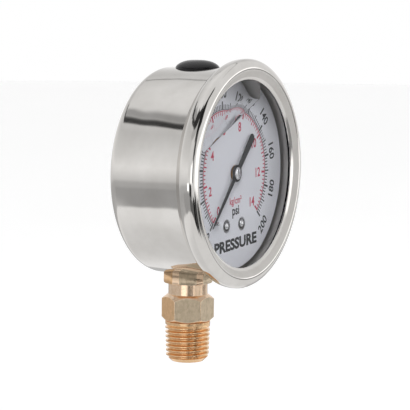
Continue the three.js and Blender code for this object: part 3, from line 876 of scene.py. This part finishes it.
def build_hub(materials):
    """A slotted cap on the pointer's shaft, in a black boss."""
    front = hub_low.y
    back = hub_high.y
    step = blade_low.y - 0.02
    bore_end = step - 0.4
    profile = [(0, front), (CAP_R - 0.35, front), (CAP_R - 0.1, front + 0.1), (CAP_R, front + 0.35)]
    profile += [(CAP_R, step), (1.3, step), (1.3, back), (0.85, back), (0.85, bore_end), (0, bore_end)]
    hub = case_lathe("pointer_cap", profile, 64)
    outline = [(-3, -SLOT_HALF), (3, -SLOT_HALF), (3, SLOT_HALF), (-3, SLOT_HALF)]
    slot = turned(prism(outline, front - 1, front + 0.5), SLOT_DEG, "Y")
    boolean(hub, finish_mesh("driver_slot", on_case_axis(slot)))
    hub.data.set_sharp_from_angle(angle=math.radians(32))
    dress(hub, materials["steel"], "brass", "pointer_hub", body="pointer")
    collar = [(1.62, step), (1.62, front + 0.55), (CAP_R + 0.05, front + 0.5)]
    collar += [(BOSS_R, front + 0.75), (BOSS_R, step)]
    ring = case_lathe("pointer_boss", collar, 64, closed=True)
    dress(ring, materials["pointer"], "pointer_black", body="pointer")


# ---- Socket ----

THREAD_PITCH = 25.4 / 18
THREAD_DEPTH = 0.95
THREAD_START_R = 6.63
CHAMFER_TOP = 1.6
END_R = 5.0
PORT_R = 2.5
PORT_DEPTH = 12.0
HEX_FLATS = 14.0
HEX_CORNER_R = HEX_FLATS / math.sqrt(3)
HEX_BOTTOM = 12.4
HEX_TOP = 20.8
NECK_R = 6.05
COLLAR_BOTTOM = 24.3
COLLAR_TOP = 26.95
COLLAR_R = 7.5
NECK_STEP_R = 5.9  # the neck's narrower part, inside the collar and the case
NECK_TOP = 31.2
SEAL_R = 6.85
SEAL_LOW = 27.6
SEAL_HIGH = 29.6
BLOCK_LOW = 30.2
BLOCK_WIDE = 12
BLOCK_DEEP = 8.8
BLOCK_Y = 1.6


def thread_radius(along, z):
    """Radius of the thread at a place along one pitch (0 to 1) and a height."""
    crest = THREAD_START_R + (z - CHAMFER_TOP) / 32
    flank = min(1.0, max(0.0, (abs(along - 0.5) - 0.12) / 0.24))
    fade = min(1.0, max(0.0, (HEX_BOTTOM - 0.9 - z) / 1.0))
    cut = crest - THREAD_DEPTH * (1 - flank) * fade
    chamfer = END_R + (z / CHAMFER_TOP) * (THREAD_START_R - END_R)
    return max(END_R, min(cut, chamfer))


def build_thread(materials):
    """The right-hand taper thread: columns of points that rise by one pitch in a turn."""
    columns = 144
    per_pitch = 14
    high = HEX_BOTTOM + 0.02
    count = per_pitch * (int(high / THREAD_PITCH) + 6)
    bm = bmesh.new()
    grid = []
    for i in range(columns):
        turn = i / columns
        column = []
        for k in range(count + 1):
            z = THREAD_PITCH * ((k - per_pitch) / per_pitch - 1 + turn)
            along = (k % per_pitch) / per_pitch
            # Past either end a point stays on the end's own circle.
            if z <= 0:
                r = END_R
            elif z >= high:
                r = THREAD_START_R + 0.2
            else:
                r = thread_radius(along, z)
            x, y = polar(r, 360 * turn)
            column.append(bm.verts.new((x, y, min(high, max(0.0, z)))))
        grid.append(column)
    for i in range(columns):
        left = grid[i]
        right = grid[(i + 1) % columns]
        # The last column meets the first one a whole pitch further up.
        shift = per_pitch if i == columns - 1 else 0
        for k in range(count - per_pitch):
            bm.faces.new((left[k], right[k + shift], right[k + 1 + shift], left[k + 1]))
    bmesh.ops.remove_doubles(bm, verts=bm.verts, dist=1e-4)
    bmesh.ops.holes_fill(bm, edges=bm.edges, sides=columns + 4)
    thread = finish_mesh("stem_thread", bm, sharp_deg=38)
    port = [(0, -1), (PORT_R, -1), (PORT_R, 5), (PORT_R, PORT_DEPTH), (0, PORT_DEPTH + 1)]
    boolean(thread, stem_lathe("port", port, 48))
    thread.data.set_sharp_from_angle(angle=math.radians(38))
    dress(thread, materials["thread_brass"], "brass", "socket_stem")


def hex_bar(bottom, top, envelope, name):
    """A length of hexagon bar, turned down to an envelope of (radius, z) points."""
    bm = bmesh.new()
    rings = []
    for z in (bottom, top):
        corners = arc(0, 0, HEX_CORNER_R, HEX_CORNER_R, 0, 300, 5)
        rings.append([bm.verts.new((x, y, z)) for x, y in corners])
    bm.faces.new(reversed(rings[0]))
    bm.faces.new(rings[1])
    for i in range(6):
        j = (i + 1) % 6
        bm.faces.new((rings[0][i], rings[0][j], rings[1][j], rings[1][i]))
    bar = finish_mesh(name, bm, sharp_deg=30)
    boolean(bar, stem_lathe(name + "_envelope", envelope, 180), "INTERSECT")
    soften(bar, 0.1, 28)
    return bar


def dress_flats(bar, materials):
    """Keeps the drawn skin on a turned hexagon's flats, scuffed on the four that a spanner gripped. The
    tints of the two kinds of flat are partly painted reflection: orange on the smooth pair, greyer on the
    scuffed four.
    """
    bar.data.materials.append(materials["drawn_brass_painted_reflection"])
    bar.data.materials.append(materials["gripped_brass_painted_reflection"])
    reach = (HEX_FLATS / 2 - 0.01) * MM
    for k in range(6):
        outward = Vector((*polar(1.0, 60 * k + 30), 0.0))
        for face in bar.data.polygons:
            if face.normal.dot(outward) > 0.999 and face.center.dot(outward) > reach:
                face.material_index = 1 if k % 3 == 2 else 2


def build_hexagon(materials):
    outer = HEX_CORNER_R + 0.1
    envelope = [(0, HEX_BOTTOM), (HEX_FLATS / 2 - 0.35, HEX_BOTTOM), (outer, HEX_BOTTOM + 1.25)]
    envelope += [(outer, HEX_TOP - 1.65), (NECK_R + 0.2, HEX_TOP), (0, HEX_TOP)]
    bar = hex_bar(HEX_BOTTOM - 1, HEX_TOP + 1, envelope, "stem_hexagon")
    dress(bar, materials["turned_brass"], "brass")
    dress_flats(bar, materials)


def build_collar(materials):
    envelope = [(0, COLLAR_BOTTOM), (COLLAR_R - 0.25, COLLAR_BOTTOM), (COLLAR_R, COLLAR_BOTTOM + 0.25)]
    envelope += [(COLLAR_R, COLLAR_TOP + 2), (0, COLLAR_TOP + 2)]
    bar = hex_bar(COLLAR_BOTTOM - 1, COLLAR_TOP + 3, envelope, "stem_collar")
    # The collar's top is hollowed to sit on the round case.
    hollow_r = CASE_R + 0.04
    hollow = [(0, -20), (hollow_r, -20), (hollow_r, 20), (0, 20)]
    boolean(bar, case_lathe("saddle", hollow, 256))
    dress(bar, materials["turned_brass"], "brass")
    dress_flats(bar, materials)


def build_neck(materials):
    bottom = HEX_TOP - 1.5
    profile = [(0, bottom), (NECK_R, bottom), (NECK_R, HEX_TOP + 1), (NECK_R, COLLAR_BOTTOM + 1)]
    profile += [(NECK_STEP_R, COLLAR_BOTTOM + 1.2), (NECK_STEP_R, NECK_TOP), (0, NECK_TOP)]
    neck = stem_lathe("stem_neck", profile, 128)
    dress(neck, materials["turned_brass"], "brass")


def build_seal(materials):
    """The rubber ring in the case's lower hole."""
    inner = NECK_STEP_R + 0.05
    ring = [(inner, SEAL_LOW), (SEAL_R - 0.25, SEAL_LOW - 0.15), (SEAL_R, SEAL_LOW + 0.1)]
    ring += [(SEAL_R, SEAL_HIGH), (inner, SEAL_HIGH)]
    seal = stem_lathe("hole_seal", ring, 96, closed=True)
    dress(seal, materials["rubber"], "black_rubber", "case_seal")


def build_block(materials):
    """The socket's block inside the case, which carries the tube and the movement."""
    tall = stem_high.z - BLOCK_LOW
    bm = bmesh.new()
    bmesh.ops.create_cube(bm, size=1.0)
    bmesh.ops.scale(bm, vec=(BLOCK_WIDE, BLOCK_DEEP, tall), verts=bm.verts)
    bmesh.ops.translate(bm, vec=(0, BLOCK_Y, BLOCK_LOW + tall / 2), verts=bm.verts)
    block = finish_mesh("socket_block", bm)
    soften(block, 0.3)
    dress(block, materials["plate_brass"], "brass")


# ---- Bourdon tube ----

TUBE_R = 22.8
TUBE_Y = 1.6
TUBE_START_DEG = 256
TUBE_END_DEG = -15
TUBE_WIDE = 7.0
TUBE_THICK = 3.0


def build_tube(materials):
    """The flattened tube, which opens a little as its tip moves; here it is one fixed piece."""
    half = TUBE_THICK / 2
    flat = TUBE_WIDE / 2 - half
    section = arc(flat, 0, half, half, -90, 90, 8) + arc(-flat, 0, half, half, 90, 270, 8)
    steps = 90
    bm = bmesh.new()
    rings = []
    for i in range(steps + 1):
        degrees = TUBE_START_DEG + (TUBE_END_DEG - TUBE_START_DEG) * i / steps
        ring = []
        for across, out in section:
            x, z = polar(TUBE_R + out, degrees)
            ring.append(bm.verts.new((x, TUBE_Y + across, AXIS_Z + z)))
        rings.append(ring)
    bridge(bm, rings)
    bm.faces.new(rings[0])
    bm.faces.new(rings[-1])
    tube = finish_mesh("flattened_tube", bm, sharp_deg=40)
    tube.data.materials.append(materials["bronze"])
    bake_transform(tube)
    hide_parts("bourdon_tube")


# ---- Filling plug ----

PLUG_SEGMENTS = 96
# Below the head, as (radius, height over the case): the rim's underside, the neck in the hole, the barb.
PLUG_SHANK = ((4.2, -0.02), (4.2, -1.2), (4.35, -1.6), (4.1, -3.2), (3.4, -4.0))


def plug_loop(bm, r, lift):
    """One ring of the plug. The head's rings follow the round case, and the shank's are level."""
    loop = []
    for i in range(PLUG_SEGMENTS):
        x, y = polar(r, 360 * i / PLUG_SEGMENTS)
        z = math.sqrt((CASE_R + 0.05) ** 2 - x * x) if lift > -0.5 else CASE_R
        loop.append(bm.verts.new((x, PLUG_Y + y, AXIS_Z + z + lift)))
    return loop


def build_plug(materials):
    """A rubber mushroom whose rim lies down over the round case."""
    rise = plug_high.z - AXIS_Z - CASE_R
    rings = 14
    bm = bmesh.new()
    loops = [[bm.verts.new((0, PLUG_Y, AXIS_Z + CASE_R + rise))] * PLUG_SEGMENTS]
    for k in range(1, rings):
        r = PLUG_R * math.sin(k / rings * math.pi / 2) ** 0.9
        loops.append(plug_loop(bm, r, rise * (1 - (r / PLUG_R) ** 2.6) ** 0.62))
    for r, lift in ((PLUG_R, 0.0), (PLUG_R - 0.15, -0.02), *PLUG_SHANK):
        loops.append(plug_loop(bm, r, lift))
    bridge(bm, loops)
    bm.faces.new(loops[-1])
    plug = finish_mesh("plug", bm, sharp_deg=50)
    dress(plug, materials["rubber"], "black_rubber", "fill_plug", body="plug")


# ---- Camera, floor and light ----

VIEW_AZIMUTH = -59.82
VIEW_ELEVATION = 6.187
VIEW_ROLL = 0.579
VIEW_DISTANCE = 550.0
VIEW_TARGET = Vector((7.418, -1.461, 47.593))
FOCAL_LENGTH = 155.90634
SENSOR = 36.0
FLOOR_TOP = -70  # height of the floor
FLOOR_R = 4000


def build_camera():
    a, e, r = (math.radians(v) for v in (VIEW_AZIMUTH, VIEW_ELEVATION, VIEW_ROLL))
    back = Vector((math.sin(a) * math.cos(e), -math.cos(a) * math.cos(e), math.sin(e)))
    right = Vector((math.cos(a), math.sin(a), 0))
    up = back.cross(right)
    across = right * math.cos(r) + up * math.sin(r)
    above = up * math.cos(r) - right * math.sin(r)
    data = bpy.data.cameras.new("camera")
    data.sensor_width = SENSOR
    data.lens = FOCAL_LENGTH
    data.clip_start = 0.01
    data.clip_end = 20
    camera = bpy.data.objects.new("camera", data)
    bpy.context.scene.collection.objects.link(camera)
    place = (VIEW_TARGET + VIEW_DISTANCE * back) * MM
    turn = Matrix((across, above, back)).transposed().to_4x4()
    camera.matrix_world = Matrix.Translation(place) @ turn
    bpy.context.scene.camera = camera


def build_floor():
    """A pale floor some way under the stem, where the gauge would be screwed into its port."""
    under = FLOOR_TOP - 4
    profile = [(0, under), (FLOOR_R, under), (FLOOR_R, FLOOR_TOP), (0, FLOOR_TOP)]
    floor = stem_lathe("floor", profile, 64)
    n = Nodes("floor_paper")
    n.set(Emission_Color=(1, 1, 1, 1), Emission_Strength=0.25, Roughness=0.9)
    n.ramp(n.spots(6.0, 2.0), (0.3, (0.93, 0.93, 0.93)), (0.7, (0.95, 0.95, 0.95)))
    floor.data.materials.append(n.material)
    floor.visible_glossy = False
    floor.visible_transmission = False


class Sky:
    """Small helper for the studio's light, as a function of direction."""

    def __init__(self, tree):
        self.tree = tree

    def math(self, operation, *values):
        return add_math(self.tree, operation, *values)

    def step(self, value, low, high):
        """0 below low and 1 above high, smooth between."""
        node = self.tree.nodes.new("ShaderNodeMapRange")
        node.interpolation_type = "SMOOTHSTEP"
        node.inputs["From Min"].default_value = low
        node.inputs["From Max"].default_value = high
        self.tree.links.new(value, node.inputs["Value"])
        return node.outputs["Result"]

    def blend(self, value, other, mask):
        """The value where the mask is 0, and the other one where it is 1."""
        change = self.math("SUBTRACT", other, value)
        return self.math("MULTIPLY_ADD", mask, change, value)

    def window(self, value, low, high, soft):
        """1 between low and high, and 0 outside."""
        rise = self.step(value, low - soft, low + soft)
        fall = self.step(value, high - soft, high + soft)
        return self.math("MULTIPLY", rise, self.math("SUBTRACT", 1.0, fall))


BACK_TONES = (
    # Elevation in degrees and brightness of the tent behind the dial's plane, which the case mirrors.
    (-90, 0.85), (-57, 0.84), (-51, 0.90), (-44, 1.0), (-33, 1.04), (-30.5, 0.62), (-16, 0.52), (-9, 0.58),
    (-6.5, 0.80), (1, 1.02), (5, 1.08), (15, 0.93), (26, 0.82), (36, 0.73), (60, 1.0), (90, 0.95),
)
FRONT_TONE = 0.92
PANELS = (
    # Heading from the dial's front (right is positive) and elevation in degrees, then softness, brightness.
    (-200, -38, 42.0, 47.3, 0.8, 0.06),  # black batten above, on the left
    (38, 150, 44.2, 45.6, 0.8, 0.35),  # thin batten above, on the right
    (-160, -133, 47, 53, 2.0, 0.45),  # grey edge over the black batten
    (-133, -32, 46, 63, 1.0, 0.04),  # black cloth hung over it
    (-120, -34, 34, 44, 1.5, 0.6),  # grey wall under the batten
    (-34, 4, 24, 56, 1.5, 0.02),  # tall black flag, front left
    (-27, -6, 9, 25, 1.5, 0.1),  # its foot
    (4, 20, 44, 54, 1.5, 0.06),  # its arm
    (-46, -20, -8, 8, 2.0, 1.7),  # strip light, left part
    (-19, -9, -6, 9, 1.0, 0.15),  # the stand between its two parts
    (9, 64, -8, 8, 1.5, 1.7),  # strip light, right part
    (-130, -58, -32, -14, 1.5, 0.45),  # table edge on the left
    (-58, -14, -30, -17, 1.5, 0.17),  # grey flag on the table
    (-14, 8, -31, -13, 1.0, 0.02),  # black flag under the strip light, in steps
    (8, 21, -26, -9.3, 1.0, 0.02),
    (21, 32, -19, -10, 0.8, 0.35),
    (32, 42, -15.5, -8.4, 0.8, 0.04),
    (42, 54, -11.5, -7.2, 0.6, 0.06),
    (54, 70, -8.5, -6, 0.5, 0.1),
    (-60, -28, -17, -6.8, 0.7, 0.05),  # the camera and its stand
    (-98, -67, -13, -6.5, 0.8, 2.0),  # a small light beside the camera
    (55.5, 64.5, -11, -1.5, 1.0, 0.35),  # dark card mirrored by the window
)


def build_sky():
    """The tent and its panels, by direction. The camera itself sees plain white behind the gauge."""
    world = bpy.data.worlds.new("studio")
    bpy.context.scene.world = world
    world.use_nodes = True
    tree = world.node_tree
    sky = Sky(tree)
    background = tree.nodes["Background"]
    direction = tree.nodes.new("ShaderNodeTexCoord").outputs["Generated"]
    split = tree.nodes.new("ShaderNodeSeparateXYZ")
    tree.links.new(direction, split.inputs["Vector"])
    x, y, z = split.outputs
    degrees = 180 / math.pi
    elevation = sky.math("MULTIPLY", sky.math("ARCSINE", z), degrees)
    heading = sky.math("MULTIPLY", sky.math("ARCTAN2", x, sky.math("MULTIPLY", y, -1.0)), degrees)
    ramp = tree.nodes.new("ShaderNodeValToRGB")
    elements = ramp.color_ramp.elements
    while len(elements) < len(BACK_TONES):
        elements.new(0.5)
    brightest = max(tone for _, tone in BACK_TONES)
    for element, (angle, tone) in zip(elements, BACK_TONES):
        element.position = (angle + 90) / 180
        element.color = (tone / brightest,) * 3 + (1,)
    tree.links.new(sky.math("MULTIPLY_ADD", elevation, 1 / 180, 0.5), ramp.inputs["Fac"])
    tone = sky.math("MULTIPLY", ramp.outputs["Color"], brightest)
    front = sky.math("SUBTRACT", 1.0, sky.step(y, -0.2, 0.05))
    tone = sky.blend(tone, FRONT_TONE, front)
    for left, right, low, high, soft, level in PANELS:
        across = sky.window(heading, left, right, 2 * soft)
        mask = sky.math("MULTIPLY", across, sky.window(elevation, low, high, soft))
        tone = sky.blend(tone, level, mask)
    path = tree.nodes.new("ShaderNodeLightPath")
    shown = sky.blend(tone, 1.0, path.outputs["Is Camera Ray"])
    tree.links.new(shown, background.inputs["Strength"])
    background.inputs["Color"].default_value = (1, 1, 1, 1)


def build_lights():
    for name, place, size, watts in (
        ("key", (-0.5, -0.8, 0.7), 0.6, 3.2),
        ("fill", (0.6, -0.8, 0.35), 0.6, 1.2),
    ):
        data = bpy.data.lights.new(name, "AREA")
        data.shape = "DISK"
        data.size = size
        data.energy = watts
        light = bpy.data.objects.new(name, data)
        bpy.context.scene.collection.objects.link(light)
        light.location = place
        aim = Vector((0, 0, AXIS_Z * MM)) - light.location
        light.rotation_euler = aim.to_track_quat("-Z", "Y").to_euler()
        light.visible_glossy = False


def main():
    build_camera()
    materials = make_materials()
    dress_cad_nodes(materials)
    for build in (
        build_case, build_bezel, build_lens, build_liquid, build_dial, build_print, build_dial_screws,
        build_stop_pin, build_bush, build_pointer, build_hub, build_thread, build_hexagon, build_collar,
        build_neck, build_seal, build_block, build_tube, build_plug,
    ):
        build(materials)
    build_floor()
    build_sky()
    build_lights()
    bpy.context.scene.view_settings.view_transform = "Standard"


main()
